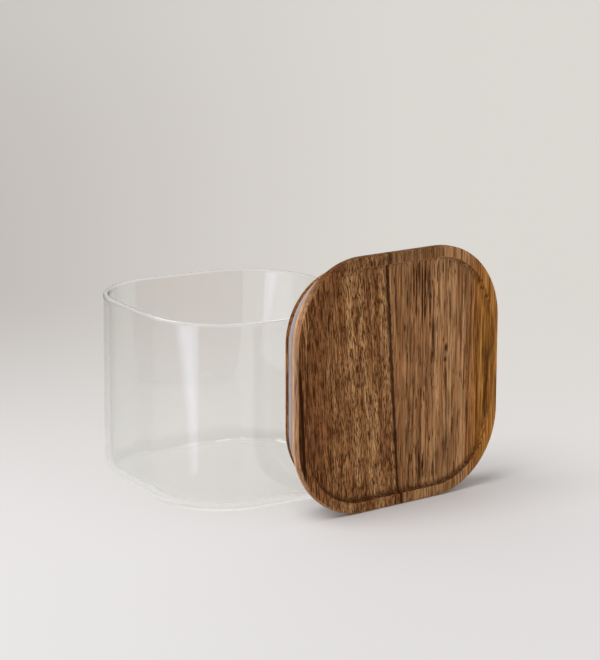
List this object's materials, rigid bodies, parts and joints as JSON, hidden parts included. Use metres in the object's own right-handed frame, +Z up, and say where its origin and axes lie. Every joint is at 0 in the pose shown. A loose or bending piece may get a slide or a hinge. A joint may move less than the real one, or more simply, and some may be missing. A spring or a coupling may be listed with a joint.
{
  "type": "storage jar",
  "caption": "Square clear glass storage jar with rounded corners and a push-in solid-wood lid with a silicone ring, shown with the lid off.",
  "frame": {"origin": "middle of the jar's flat base, on the surface that it stands on", "axes": "+Z up out of the jar's mouth, X and Y along the jar's flat sides, the lid standing in front on the -Y side"},
  "size_m": [0.135, 0.1141, 0.1],
  "materials": {
    "clear_glass": "clear, thin-walled, fire-polished rim",
    "oiled_wood_left": "oiled, mottled brown hardwood with short dark pores",
    "oiled_wood_right": "oiled, straight-grained lighter hardwood with golden sapwood at its edge",
    "silicone": "satin, milky"
  },
  "bodies": {
    "jar": {"glass_jar": "clear_glass"},
    "lid": {"lid_board_left": "oiled_wood_left", "lid_board_right": "oiled_wood_right", "seal_ring": "silicone"}
  },
  "joints": [
    {"name": "lid_lift", "type": "slide", "parent": "jar", "child": "lid", "axis": [0, 0, 1], "range_m": [0, 0.12]}
  ]
}
